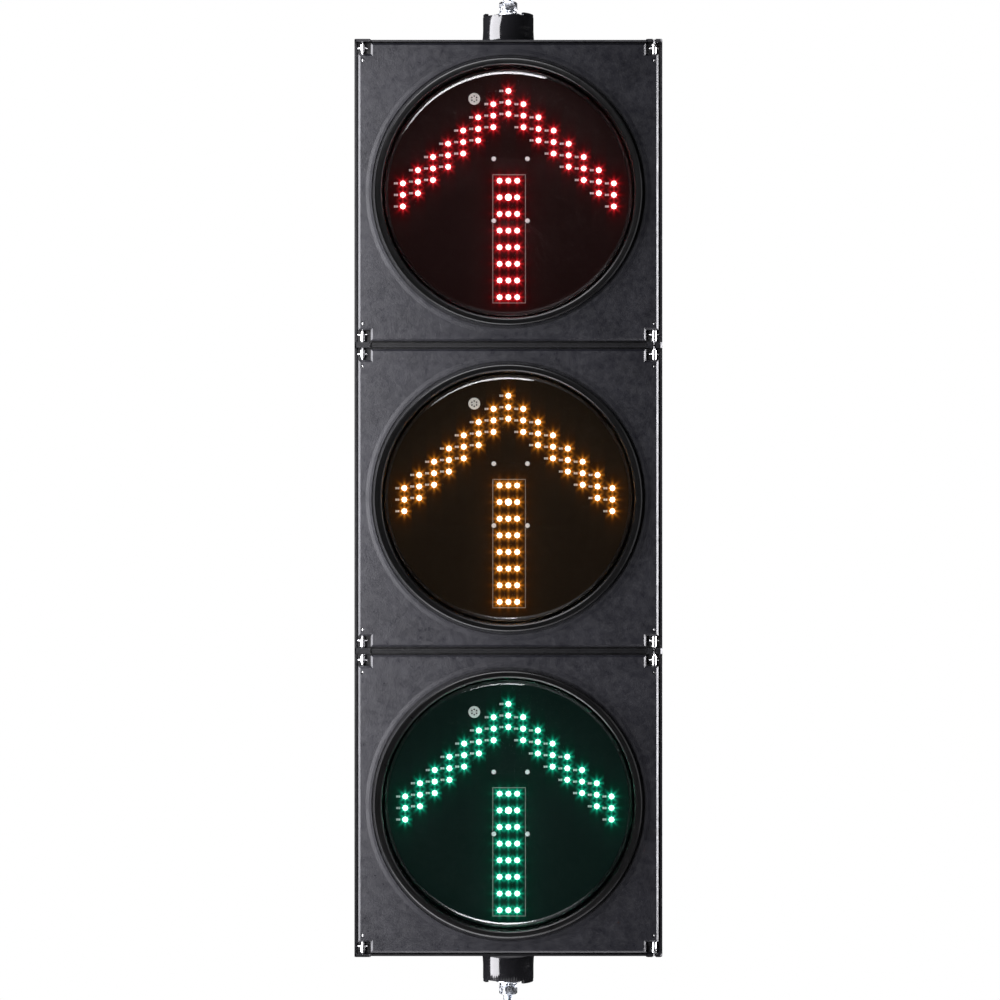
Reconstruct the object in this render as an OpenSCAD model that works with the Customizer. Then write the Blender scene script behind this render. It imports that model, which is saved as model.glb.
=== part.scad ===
// Three-section traffic signal head with arrow light modules, for mounting between two brackets.
// Millimetres, +Z up, the lights face -Y. The origin is on the axis of the two mounting studs,
// in the plane of the lower spigot's crown.

/* [Housings] */
// Height of one signal section
section_h = 360; // [358:1:366]
// Width of a housing across its front rim
housing_w = 363; // [361:1:369]
// Distance from the stud axis back to the outside of the rear wall
rear_y = 57; // [50:1:80]
// Wall thickness of a housing
wall = 3; // [2.5:0.5:3.5]
// How much each side wall leans in towards the back
side_taper = 7; // [4:1:12]
// Radius of the two vertical rear corners
rear_corner_r = 24; // [15:1:30]
// Thickness of the rim round the door
rim_t = 2.65; // [2:0.05:2.75]

/* [Doors] */
// Clearance from the housing's outer edge to the door's edge
door_inset = 5; // [4.5:0.25:5.5]
// Thickness of a door at its edge
door_t = 12; // [11.5:0.5:13]
// Thickness of a door's front skin
door_skin = 3.2; // [2.4:0.2:4]
// Width of the notch at each door corner
notch_w = 14.65; // [14:0.05:16]
// Height of the notch at each door corner
notch_h = 12.8; // [12.6:0.1:16]
// Width of the chamfer round a door's front edge and notches
door_chamfer = 2.4; // [1:0.1:2.6]
// Distance of the hinge and latch pins from the middle plane
pin_x = 171.5; // [170.5:0.25:171.5]
// Radius of a pin's shaft
pin_r = 3; // [2.8:0.1:3.2]
// Radius of a pin's tip, which sits in the housing's lug
tip_r = 1.6; // [1.4:0.1:2]
// Radial running clearance of pins in their bores
pin_play = 0.08; // [0.04:0.01:0.1]
// Travel of a pin against its spring
pin_travel = 3.6; // [3:0.1:3.7]

/* [Light modules] */
// Radius of the clear lens
lens_r = 148.3; // [147:0.1:148.4]
// Outer radius of the glossy ring round the lens
ring_r = 157.5; // [156:0.5:158]
// Radius of the circuit board
board_r = 143; // [141:0.5:143.5]
// Outer radius of the soft collar that the door raises round the ring
collar_r = 168; // [165:0.5:169]
// Radius of one light-emitting diode
led_r = 2.5; // [2:0.1:3]
// Diode columns on each side of the arrow's point
wing_columns = 7; // [5:1:7]
// Drop from one wing column to the next
wing_drop = 15.6; // [14:0.1:16]
// Distance between the diodes of one wing column
wing_gap = 13.6; // [12:0.1:14]
// Height of the arrow's point above the module's centre
arrow_top = 120.8; // [115:0.1:122]
// Height of the stem's first row above the module's centre
stem_top = 14.8; // [12:0.1:16]
// Rows of diodes in the arrow's stem
stem_rows = 8; // [6:1:8]
// Distance between the stem's rows
stem_row_gap = 19.65; // [18:0.05:20]
// Distance between the stem's columns
stem_pitch = 10.4; // [9:0.1:11]

/* [Mounting spigots] */
// Radius of a spigot
spigot_r = 30.2; // [29:0.1:31]
// Height of a spigot up to the face that carries its washer
spigot_h = 34; // [33.5:0.5:42]
// Height of the raised crown above that face
crown_h = 3.2; // [2.6:0.1:4]
// Radius of the mounting stud's thread
stud_r = 6; // [6:1:6]
// Free length of the stud beyond its nut
stud_free = 22; // [18:1:40]

/* [Hidden] */
SECTIONS = ["green", "amber", "red"];
SECTION_PARTS = ["housing", "door", "lens_ring", "lens", "lens_gasket", "module_case", "circuit_board",
    "leds", "board_screws", "power_supply", "module_clips", "pin_upper_left", "pin_upper_right",
    "pin_lower_left", "pin_lower_right", "pin_springs"];
SHARED_PARTS = ["door_gaskets", "upper_spigot", "lower_spigot", "spigot_screws", "mounting_bolts",
    "mounting_nuts", "flat_washers", "spring_washers", "joint_rings", "joint_bolts", "terminal_block",
    "cable_grommet"];

satin_black = [0.09, 0.09, 0.10];
gloss_black = [0.03, 0.03, 0.035];
rubber_black = [0.05, 0.05, 0.05];
steel = [0.75, 0.76, 0.78];
board_black = [0.04, 0.05, 0.05];
supply_grey = [0.55, 0.56, 0.58];
LIGHT_COLOURS = [[0.05, 0.75, 0.50], [1.00, 0.62, 0.25], [0.90, 0.08, 0.14]];
// the diodes' column pitch, and how far below its module's centre each board's pattern sits
WING_PITCHES = [17.4, 17.55, 17.8];
BOARD_DROPS = [4.2, 0, 0];
LENS_TINTS = [[0.10, 0.28, 0.26, 0.35], [0.25, 0.20, 0.12, 0.35], [0.28, 0.12, 0.12, 0.35]];

eps = 1;                                  // how far a cutting shape runs past the face it cuts
half_w = housing_w / 2;
crown_z = spigot_h + crown_h;             // crown plane above the housing's end wall
stack_h = len(SECTIONS) * section_h;

// planes across the depth, front to back
flange_y = -47;
rim_y = flange_y - 6;
door_back_y = flange_y - 3;
door_front_y = door_back_y - door_t;
pin_y = door_back_y - door_t / 2;
ring_front_y = door_front_y - 8.4;
board_y = -44;
board_t = 1.6;
clip_y = -43;

door_w = housing_w - 2 * door_inset;
door_h = section_h - 2 * door_inset;
notch_x = door_w / 2 - notch_w;           // inner wall of a corner notch
notch_z = door_h / 2 - notch_h;
opening = 319;                            // side of the square opening in a housing's flange
lens_hole_r = 152.6;
ring_barrel_r = 152;
ring_inner_r = 148.7;
groove_r = 161;                           // groove between the ring and the door's collar
collar_rise = 1.3;
flange_r = 156;                           // the module case's flange
pocket = 154;                             // half side of the hollow behind a door's skin

lug_t = 3.3;
lug_z = section_h / 2 - lug_t;
lug_gap = lug_z - notch_z;                // a pin's heights are measured from its notch's inner wall
tip_top = lug_gap + 2.7;
shoulder_z = -11;
pin_bore_depth = 26.5;
sight_z = -7.5;
bar_half = 5.8;

post_r = 5.5;
post_radius = 172.5;                      // clip posts from the module's centre, on the diagonals
cable_way_r = 18;
joint_circle_r = 25;                      // bolts round the cable way
joint_plate_r = 34;
joint_plate_t = 5;
grommet_z = -120;
terminal_z = -80;

spigot_bore_h = 29.5;
crown_gap = 102;                          // angle of the gap in the crown
crown_gap_turn = -104;                    // where its middle lies, from +X
crown_inner_r = 26;
crown_step = 0.3;                         // how much smaller the crown is than the hub
washer_t = 4;
spring_washer_t = 4;
nut_h = 10.8;
nut_r = 10.97;
head_h = 7.5;
nut_z = spigot_h + washer_t + spring_washer_t;
engaged_r = 5.5;                          // the stud inside its nut, at the thread's pitch radius

// ---- helpers ----

function arc(cx, cy, r, a0, a1, n = 8) =
    [for (i = [0:n]) let (a = a0 + (a1 - a0) * i / n) [cx + r * cos(a), cy + r * sin(a)]];

function rounded_square(side, r) = let (c = side / 2 - r) concat(
    arc(c, c, r, 0, 90), arc(-c, c, r, 90, 180), arc(-c, -c, r, 180, 270), arc(c, -c, r, 270, 360));

function side_x(y) = half_w - side_taper * (y - rim_y) / (rear_y - rear_corner_r - rim_y);

function housing_outline(inset, front_y) =
    let (lean = atan(side_taper / (rear_y - rear_corner_r - rim_y)),
         cx = half_w - side_taper - rear_corner_r, cy = rear_y - rear_corner_r, r = rear_corner_r - inset)
    concat([[-side_x(front_y) + inset, front_y]], arc(-cx, cy, r, 180 - lean, 90),
        arc(cx, cy, r, 90, lean), [[side_x(front_y) - inset, front_y]]);

// extrudes an outline drawn in X and Z along Y, from y0 to y1
module slab(y0, y1) translate([0, y1, 0]) rotate([90, 0, 0]) linear_extrude(y1 - y0) children();

// turns an outline drawn as [radius, y] about the Y axis
module turned() rotate([-90, 0, 0]) rotate_extrude($fn = 128) children();

module rod_y(r, y0, y1, sides = 48) translate([0, y0, 0]) rotate([-90, 0, 0])
    cylinder(r = r, h = y1 - y0, $fn = sides);

module at_corners(x, z) for (sx = [-1, 1], sz = [-1, 1]) translate([sx * x, 0, sz * z]) children();

module on_diagonals(r) for (a = [45:90:315]) rotate([0, a, 0]) translate([r, 0, 0]) children();

module round_pattern(r, count) for (i = [0:count - 1]) rotate(45 + i * 360 / count)
    translate([r, 0, 0]) children();

function section_z(i) = crown_z + (i + 0.5) * section_h;

// ---- housing ----

module lug_outline() polygon([[notch_x + 0.3, flange_y], [notch_x + 0.3, door_front_y + 3],
    [notch_x + 2.3, door_front_y + 1], [half_w - 2.5, door_front_y + 1], [half_w - 0.5, door_front_y + 3],
    [half_w - 0.5, flange_y]]);

// A lug holds a pin's tip: in a round bore on the hinge side, in a slot open to the front on the latch side.
module lug(latch_side) difference() {
    linear_extrude(lug_t) lug_outline();
    translate([pin_x, pin_y, -eps]) {
        cylinder(r = tip_r + pin_play, h = lug_t + 2 * eps, $fn = 48);
        if (latch_side) translate([-tip_r - 0.3, -door_t, 0])
            cube([2 * tip_r + 0.6, door_t, lug_t + 2 * eps]);
    }
}

module lugs() for (sx = [-1, 1], sz = [0, 1]) mirror([sx < 0 ? 1 : 0, 0, 0]) mirror([0, 0, sz])
    translate([0, 0, lug_z]) lug(sx > 0);

module housing_shell() difference() {
    linear_extrude(section_h, center = true) polygon(housing_outline(0, rim_y));
    linear_extrude(section_h - 2 * wall, center = true) polygon(housing_outline(wall, flange_y + wall));
    slab(rim_y - eps, flange_y) square([housing_w - 2 * rim_t, section_h - 2 * rim_t], center = true);
    slab(flange_y - eps, flange_y + wall + eps) polygon(rounded_square(opening, 8));
}

module housing(has_grommet) color(satin_black) difference() {
    union() {
        housing_shell();
        lugs();
        for (z = [-90, 0, 90]) translate([-130, rear_y - 0.5, z - 1.5]) cube([260, 3, 3]);
        slab(rear_y - 0.5, rear_y + 1.5) difference() {
            polygon(rounded_square(296, 14));
            polygon(rounded_square(288, 10));
        }
    }
    cylinder(r = cable_way_r, h = section_h + 2 * eps, center = true, $fn = 96);
    round_pattern(joint_circle_r, 4) cylinder(r = 3.2, h = section_h + 2 * eps, center = true, $fn = 32);
    if (has_grommet) translate([0, 0, grommet_z]) rod_y(12, rear_y - wall - eps, rear_y + 3);
}

module door_gaskets() color(rubber_black) for (i = [0:2]) translate([0, 0, section_z(i)])
    slab(flange_y - 2.6, flange_y) difference() {
        polygon(rounded_square(331, 14));
        polygon(rounded_square(322, 9.5));
    }

// ---- door ----

function plate_outline(half) = let (front = door_chamfer, back = 2)
    [[-half, door_front_y + front], [-half + front, door_front_y], [half - front, door_front_y],
     [half, door_front_y + front], [half, door_back_y - back], [half - back, door_back_y],
     [-half + back, door_back_y], [-half, door_back_y - back]];

module chamfered_plate(w, h) intersection() {
    linear_extrude(h, center = true) polygon(plate_outline(w / 2));
    rotate([0, -90, 0]) linear_extrude(w, center = true) polygon(plate_outline(h / 2));
}

// two crossing plates leave the notches at the corners
module door_plate() {
    chamfered_plate(door_w, 2 * notch_z);
    chamfered_plate(2 * notch_x, door_h);
}

// hollows behind the front skin: one in each corner and one along each edge
module door_hollows() slab(door_front_y + door_skin, door_back_y + eps) {
    difference() {
        square(2 * pocket, center = true);
        circle(r = 158, $fn = 128);
        for (s = [-1, 1]) {
            translate([s * post_radius * cos(45), 0]) square([3, 2 * pocket + 2], center = true);
            translate([0, s * post_radius * cos(45)]) square([2 * pocket + 2, 3], center = true);
        }
    }
    for (sx = [-1, 1]) translate([sx * (door_w / 2 - 6.4), 0]) square([6.4, 250], center = true);
    for (sz = [-1, 1]) translate([0, sz * (door_h / 2 - 6.4)]) square([250, 6.4], center = true);
}

module door() color(satin_black) difference() {
    union() {
        difference() {
            door_plate();
            door_hollows();
        }
        on_diagonals(post_radius) rod_y(post_r, door_front_y + eps, clip_y);
        turned() polygon([[lens_hole_r - eps, door_front_y + 0.5], [lens_hole_r - eps, door_front_y - collar_rise],
            [groove_r + 3, door_front_y - collar_rise], [collar_r, door_front_y],
            [collar_r, door_front_y + 0.5]]);
    }
    rod_y(lens_hole_r, door_front_y - 2 * eps, door_back_y + eps, 128);
    turned() translate([lens_hole_r - eps, door_front_y - 2 * eps])
        square([groove_r - lens_hole_r + eps, 2 * eps + 1.8]);
    for (sx = [-1, 1], sz = [0, 1]) mirror([0, 0, sz]) translate([sx * pin_x, 0, notch_z]) {
        translate([0, pin_y, -pin_bore_depth])
            cylinder(r = pin_r + pin_play, h = pin_bore_depth + eps, $fn = 48);
        translate([0, 0, sight_z]) rod_y(1.5, door_front_y - eps, pin_y, 32);
        translate([0, door_front_y - 0.1, sight_z]) rotate([-90, 0, 0])
            cylinder(r1 = 2.4, r2 = 1.4, h = 1.7, $fn = 32);
    }
    on_diagonals(post_radius) rod_y(2, door_front_y + 6, clip_y + eps, 32);
}

// ---- door pins: heights from the notch's inner wall, tip upwards ----

// The shaft narrows to a waist at the door, and ends gap short of the lug. Its finger bar has two
// tapered wings, turned about the pin.
module door_pin(bar_z, gap, waist_r, waist_h, turn) color(steel) {
    rotate_extrude($fn = 48) polygon([[0, shoulder_z - 8], [1.4, shoulder_z - 8], [1.4, shoulder_z],
        [pin_r, shoulder_z], [pin_r, -1.6], [waist_r, -0.6], [waist_r, 0.4], [pin_r, waist_h],
        [pin_r, lug_gap - gap - 0.5], [pin_r - 0.5, lug_gap - gap], [tip_r, lug_gap - gap],
        [tip_r, tip_top - 0.6], [tip_r - 0.6, tip_top], [0, tip_top]]);
    for (side = [0, 180]) rotate([0, 0, turn + side]) translate([0, 0, bar_z]) rotate([0, 98, 0])
        cylinder(r1 = 1.4, r2 = 0.8, h = bar_half, $fn = 24);
}

// The finger bar is nearer to the lug on the upper pins, and nearer to the door on the lower pins.
// The hinge side pins have the longer waist. One pin is shown turned, with a wing to the viewer.
module pin_at(sx, upper, turn = 0) mirror([0, 0, upper ? 0 : 1]) translate([sx * pin_x, pin_y, notch_z])
    door_pin(upper ? 7.8 : 6.2, upper ? 2.4 : 1, sx < 0 ? 1.3 : 2.6, sx < 0 ? 6 : 1.2, turn);

module pin_springs() color(steel) for (sx = [-1, 1], sz = [0, 1]) mirror([0, 0, sz])
    translate([sx * pin_x, pin_y, notch_z - pin_bore_depth + 0.2]) difference() {
        cylinder(r = 2.85, h = pin_bore_depth + shoulder_z - 0.4, $fn = 32);
        translate([0, 0, -eps]) cylinder(r = 1.7, h = pin_bore_depth + 2 * eps, $fn = 32);
    }

// ---- light module ----

module lens_ring() color(gloss_black) turned() polygon([[ring_r, door_front_y - 0.3],
    [ring_r, ring_front_y + 3], [ring_r - 1, ring_front_y + 0.9], [ring_r - 3, ring_front_y],
    [ring_r - 6.3, ring_front_y], [ring_r - 8, ring_front_y + 1], [ring_inner_r, ring_front_y + 3],
    [ring_inner_r, door_front_y + 12], [ring_inner_r + 0.5, door_front_y + 12.5], [ring_inner_r + 0.5, -46],
    [ring_barrel_r, -46], [ring_barrel_r, door_front_y - 0.3]]);

// A dished lens: a shallow crown, a rounded shoulder and a skirt that drops into the ring.
function lens_profile(inset) =
    let (crown = 3, shoulder = 11, flat_r = lens_r - shoulder, top = door_front_y - 5)
    concat([for (i = [0:6]) let (r = flat_r * i / 6) [r, top + inset + crown * pow(r / flat_r, 2)]],
        arc(flat_r, top + crown + shoulder, shoulder - inset, -76, 0, 6));

module lens(tint) color(tint) turned() polygon(concat(lens_profile(0), [[lens_r, -49], [lens_r - 2.5, -49]],
    [let (p = lens_profile(2.5)) for (i = [len(p) - 1:-1:0]) p[i]]));

module lens_gasket() color(rubber_black) turned() translate([lens_r - 2.5, -48.8]) square([3, 2.6]);

module module_case() color(gloss_black) turned() polygon([[144, -46], [flange_r, -46], [flange_r, clip_y],
    [150, clip_y], [150, -25], [96, 2], [96, 4.5], [0, 4.5], [0, 2], [93.5, 2], [147.5, -26.5],
    [147.5, -40], [138, -40], [138, board_y + board_t], [144, board_y + board_t]]);

screw_places = [for (z = [40.5, -32.6], x = [-17.2, 22.5]) [x, z]];

module at_board_screws(drop) for (p = screw_places) translate([p[0], 0, p[1] - drop]) children();

module circuit_board(drop) color(board_black) difference() {
    rod_y(board_r, board_y, board_y + board_t, 128);
    at_board_screws(drop) rod_y(1.6, board_y - eps, board_y + board_t + eps, 24);
}

function led_places(wing_pitch) = concat(
    [for (c = [-wing_columns:wing_columns], k = [0:2])
        [c * wing_pitch, arrow_top - abs(c) * wing_drop - k * wing_gap]],
    [for (row = [0:stem_rows - 1], c = [-1:1]) [c * stem_pitch, stem_top - row * stem_row_gap]]);

module leds(colour, wing_pitch, drop) color(colour) for (p = led_places(wing_pitch))
    translate([p[0], 0, p[1] - drop])
        rod_y(led_r, board_y - 5, board_y, 24);

module board_screws(drop) color(steel) at_board_screws(drop) {
    rod_y(3.4, board_y - 2.2, board_y, 32);
    rod_y(1.5, board_y - 0.1, board_y + 6, 24);
}

module power_supply() color(supply_grey) {
    translate([-55, -20, -30]) cube([110, 21.8, 60]);
    for (x = [-36, 36]) translate([x - 9, -24, -22]) cube([18, 5, 44]);
}

module module_clips() color(steel) on_diagonals(post_radius) {
    difference() {
        translate([-20.5, clip_y, -8]) cube([27, 1.5, 16]);
        rod_y(2.2, clip_y - eps, clip_y + 2 * eps, 24);
    }
    rod_y(4.2, clip_y + 1.5, clip_y + 4.5, 32);
    rod_y(1.9, clip_y - 11, clip_y + 1.6, 24);
}

// ---- joints between the sections ----

module at_seams() for (i = [1, 2]) translate([0, 0, crown_z + i * section_h]) children();

module joint_plate(hole_r) difference() {
    cylinder(r = joint_plate_r, h = joint_plate_t, $fn = 96);
    translate([0, 0, -eps]) cylinder(r = cable_way_r, h = joint_plate_t + 2 * eps, $fn = 96);
    round_pattern(joint_circle_r, 4) translate([0, 0, -eps])
        cylinder(r = hole_r, h = joint_plate_t + 2 * eps, $fn = 32);
}

module joint_rings() color(steel) at_seams() {
    translate([0, 0, wall]) joint_plate(3.2);
    translate([0, 0, -wall - joint_plate_t]) joint_plate(3.05);
}

module joint_bolts() color(steel) at_seams() round_pattern(joint_circle_r, 4) {
    translate([0, 0, wall + joint_plate_t]) cylinder(r = 5.77, h = 4, $fn = 6);
    translate([0, 0, -wall - joint_plate_t - 2])
        cylinder(r = 3, h = 2 * (wall + joint_plate_t) + 2.1, $fn = 32);
}

// ---- spigots and their fasteners: heights from the housing's end wall, outwards ----

module at_ends() for (end = [0, 1]) translate([0, 0, crown_z + end * stack_h])
    mirror([0, 0, 1 - end]) children();

// A hub with a hollow for the bolt's head, and a raised crown that is open at the front.
module spigot() color(gloss_black) difference() {
    union() {
        rotate_extrude($fn = 128) polygon([[cable_way_r, 0], [33, 0], [33, 1.2], [31.4, 4.5],
            [30.6, 10], [spigot_r, 18], [spigot_r, spigot_h], [6.5, spigot_h], [6.5, spigot_bore_h],
            [cable_way_r, spigot_bore_h]]);
        rotate([0, 0, crown_gap_turn + crown_gap / 2]) translate([0, 0, spigot_h - 0.5])
            rotate_extrude(angle = 360 - crown_gap, $fn = 128)
                translate([crown_inner_r, 0]) square([spigot_r - crown_step - crown_inner_r, crown_h + 0.5]);
    }
    round_pattern(joint_circle_r, 4) translate([0, 0, -eps]) cylinder(r = 3.05, h = 14 + eps, $fn = 32);
}

module upper_spigot() translate([0, 0, crown_z + stack_h]) spigot();
module lower_spigot() translate([0, 0, crown_z]) mirror([0, 0, 1]) spigot();

module spigot_screws() color(steel) at_ends() round_pattern(joint_circle_r, 4) {
    translate([0, 0, -wall - 4]) cylinder(r = 5, h = 4, $fn = 32);
    translate([0, 0, -wall - 0.1]) cylinder(r = 3, h = 15, $fn = 32);
}

module mounting_bolts() color(steel) at_ends() {
    translate([0, 0, spigot_bore_h - head_h]) cylinder(r = nut_r, h = head_h, $fn = 6);
    translate([0, 0, spigot_bore_h - 0.1])
        cylinder(r = engaged_r, h = nut_z + nut_h - spigot_bore_h + 0.1, $fn = 48);
    translate([0, 0, nut_z + nut_h]) cylinder(r = stud_r, h = stud_free, $fn = 48);
}

module mounting_nuts() color(steel) at_ends() translate([0, 0, nut_z]) rotate(8) difference() {
    intersection() {
        cylinder(r = nut_r, h = nut_h, $fn = 6);
        rotate_extrude($fn = 64) polygon([[0, 0], [9.6, 0], [11.4, 1.1], [11.4, nut_h - 1.1],
            [9.6, nut_h], [0, nut_h]]);
    }
    translate([0, 0, -eps]) cylinder(r = engaged_r + 0.05, h = nut_h + 2 * eps, $fn = 48);
}

module flat_washers() color(steel) at_ends() translate([0, 0, spigot_h]) difference() {
    cylinder(r = 15, h = washer_t, $fn = 96);
    translate([0, 0, -eps]) cylinder(r = 6.5, h = washer_t + 2 * eps, $fn = 48);
}

module spring_washers() color(steel) at_ends() translate([0, 0, spigot_h + washer_t]) difference() {
    cylinder(r = 10.4, h = spring_washer_t, $fn = 64);
    translate([0, 0, -eps]) cylinder(r = 6.3, h = spring_washer_t + 2 * eps, $fn = 48);
    rotate([8, 30, -90]) translate([0, -1, -10]) cube([20, 2, 20]);
}

// ---- wiring entry, in the green housing ----

module terminal_block() color(supply_grey) translate([0, 0, section_z(0) + terminal_z]) difference() {
    union() {
        translate([-43, rear_y - wall - 12, -12]) cube([86, 12, 24]);
        translate([-40, rear_y - wall - 18, -7]) cube([80, 7, 14]);
    }
    for (i = [-2.5:2.5]) translate([i * 13, 0, 0]) {
        rod_y(2.2, rear_y - wall - 19, rear_y - wall - 10, 24);
        translate([0, rear_y - wall - 6, -13]) cylinder(r = 2.6, h = 26, $fn = 24);
    }
}

module cable_grommet() color(rubber_black) translate([0, 0, section_z(0) + grommet_z]) turned()
    polygon([[8, rear_y - wall - 3], [15, rear_y - wall - 3], [15, rear_y - wall], [11.9, rear_y - wall],
        [11.9, rear_y], [15, rear_y], [14, rear_y + 3], [8, rear_y + 3]]);

// ---- assembly ----

for (i = [0:2]) translate([0, 0, section_z(i)]) {
    housing(i == 0);
    door();
    lens_ring();
    lens(LENS_TINTS[i]);
    lens_gasket();
    module_case();
    circuit_board(BOARD_DROPS[i]);
    leds(LIGHT_COLOURS[i], WING_PITCHES[i], BOARD_DROPS[i]);
    board_screws(BOARD_DROPS[i]);
    power_supply();
    module_clips();
    pin_at(-1, true);
    pin_at(1, true);
    pin_at(-1, false);
    pin_at(1, false, turn = i == 0 ? 90 : 0);
    pin_springs();
}
door_gaskets();
upper_spigot();
lower_spigot();
spigot_screws();
mounting_bolts();
mounting_nuts();
flat_washers();
spring_washers();
joint_rings();
joint_bolts();
terminal_block();
cable_grommet();
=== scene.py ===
"""Looks for the three-section traffic signal head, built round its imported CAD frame.

Metres, +Z up, and the lights face -Y.
"""
import math

import bmesh
import bpy
from mathutils import Matrix, Vector


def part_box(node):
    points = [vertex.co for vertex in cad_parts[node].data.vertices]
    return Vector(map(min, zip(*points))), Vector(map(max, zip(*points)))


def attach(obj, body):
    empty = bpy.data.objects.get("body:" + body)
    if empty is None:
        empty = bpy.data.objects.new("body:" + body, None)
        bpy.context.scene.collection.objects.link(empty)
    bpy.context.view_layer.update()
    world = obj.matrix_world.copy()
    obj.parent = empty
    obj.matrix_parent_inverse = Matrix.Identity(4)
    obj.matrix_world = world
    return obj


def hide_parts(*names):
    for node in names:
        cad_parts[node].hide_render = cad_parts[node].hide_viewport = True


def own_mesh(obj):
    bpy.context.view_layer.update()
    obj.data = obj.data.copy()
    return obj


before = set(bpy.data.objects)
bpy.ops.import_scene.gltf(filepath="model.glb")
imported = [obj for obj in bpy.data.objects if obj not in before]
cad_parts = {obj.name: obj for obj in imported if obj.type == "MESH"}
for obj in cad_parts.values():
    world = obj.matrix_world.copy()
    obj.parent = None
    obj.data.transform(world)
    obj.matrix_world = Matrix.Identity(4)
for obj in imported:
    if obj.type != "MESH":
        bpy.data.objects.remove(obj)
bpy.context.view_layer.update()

MM = 0.001
COLOURS = ("red", "amber", "green")
ROOT = "housing_stack"

# ---- places taken from the frame ----


def centre_of(node):
    low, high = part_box(node)
    return (low + high) / 2


SECTION_Z = {c: centre_of(f"{c}_door").z for c in COLOURS}
STACK_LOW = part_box("green_housing")[0].z
STACK_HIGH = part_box("red_housing")[1].z
MIDDLE_Z = (STACK_LOW + STACK_HIGH) / 2
COLLAR_RISE = 1.3 * MM
DOOR_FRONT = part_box("red_door")[0].y + COLLAR_RISE
BOARD_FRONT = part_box("red_circuit_board")[0].y

# ---- sizes of what the frame leaves plain, in millimetres, from the middle of a lens ----

WING_COLUMNS = 7
WING_PITCH = {"red": 17.8, "amber": 17.55, "green": 17.4}
BOARD_DROP = {"red": 0.0, "amber": 0.0, "green": 4.2}
WING_DROP = 15.6
WING_GAP = 13.6
ARROW_TOP = 120.8
STEM_ROWS = 8
STEM_TOP = 14.8
STEM_ROW_GAP = 19.65
STEM_PITCH = 10.4
SCREW_PLACES = [(x, z) for z in (40.5, -32.6) for x in (-17.2, 22.5)]
VENT_PLACE = (-40.3, 111.4)

# ---- sizes in metres and square metres ----

SPRING_LENGTH = 15.1 * MM
WELD_GAP = 0.004 * MM
SPLINTER = 0.002 * MM
FLAT_AREA = 220 * MM * MM
SLIVER_AREA = 1e-6 * MM * MM

# Colours: the light, its white-hot middle, the smoked lens, the black board with a painted cast of
# its diodes' colour, the light that spills on the board close to a diode, and the haze that is left of it far
# from one
LIGHT = {"red": (1.0, 0.012, 0.035), "amber": (1.0, 0.30, 0.03), "green": (0.0, 0.80, 0.42)}
CORE = {"red": (1.0, 0.72, 0.74), "amber": (1.0, 0.90, 0.70), "green": (0.72, 1.0, 0.92)}
TINT = {"red": (0.86, 0.83, 0.82), "amber": (0.86, 0.84, 0.80), "green": (0.81, 0.86, 0.85)}
# The boards' base colour is black (real) tinted with the section's diode colour (painted light from the
# diodes).
BOARD_BLACK_AND_DIODE_CAST = {"red": (0.0040, 0.0012, 0.0010), "amber": (0.0040, 0.0024, 0.0008),
         "green": (0.0008, 0.0034, 0.0030)}
SPILL = {"red": (1.0, 0.01, 0.02), "amber": (1.0, 0.30, 0.01), "green": (0.0, 0.72, 0.40)}
HAZE = {"red": (1.0, 0.26, 0.24), "amber": (1.0, 0.55, 0.22), "green": (0.20, 0.95, 0.72)}


# ---- node helpers ----


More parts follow.
